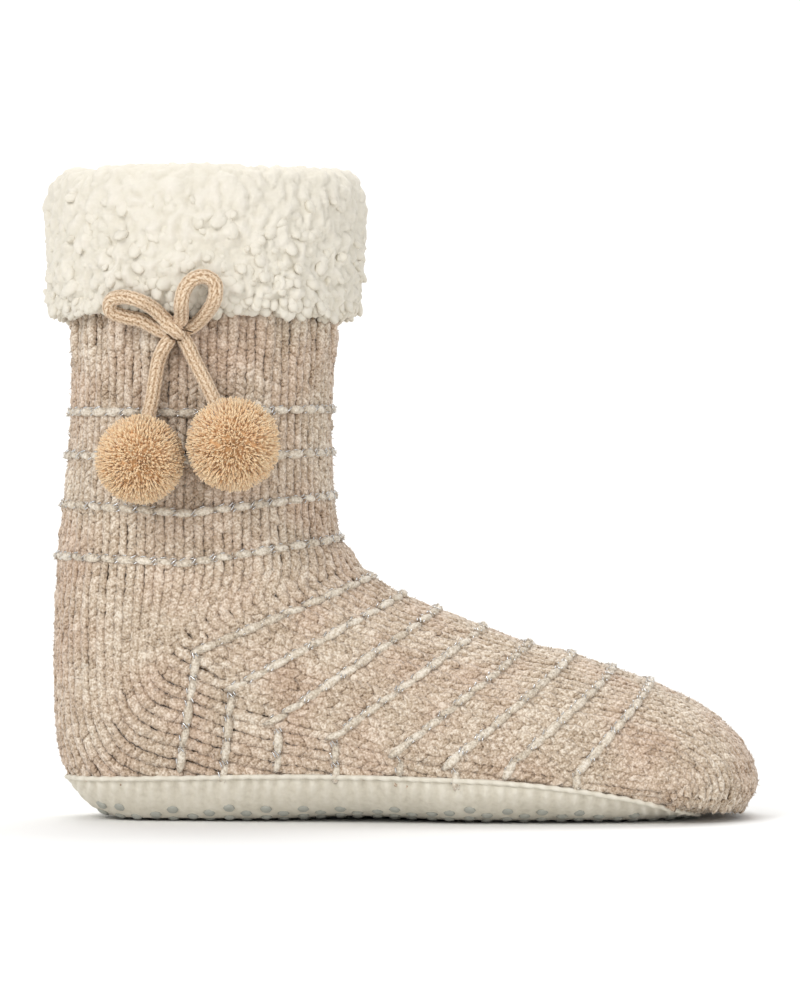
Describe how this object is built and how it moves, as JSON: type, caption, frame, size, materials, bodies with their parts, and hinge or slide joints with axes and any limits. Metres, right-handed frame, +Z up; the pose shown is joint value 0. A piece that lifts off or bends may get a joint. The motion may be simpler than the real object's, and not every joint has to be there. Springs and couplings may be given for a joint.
{
  "type": "slipper sock",
  "caption": "Knitted slipper sock with raised courses, padded fabric sole, deep pile cuff and a cord bow with pompoms.",
  "frame": {"origin": "on the floor, at the middle of the heel's flat spot", "axes": "+X from heel to toe, +Y to the inner side of the foot, +Z up"},
  "size_m": [0.2496, 0.1227, 0.226],
  "materials": {
    "knit": "chenille yarn",
    "sole_fabric": "padded, with grip dots",
    "pile": "curled pile",
    "cord": "knitted cord",
    "pompom_yarn": "cut yarn"
  },
  "bodies": {
    "root": {"upper": "knit", "sole": "sole_fabric", "cuff": "pile", "bow_knot": "cord", "bow_loop_back": "cord", "bow_loop_front": "cord", "bow_tail_back": "cord", "bow_tail_front": "cord", "pompom_back": "pompom_yarn", "pompom_front": "pompom_yarn"}
  },
  "joints": []
}
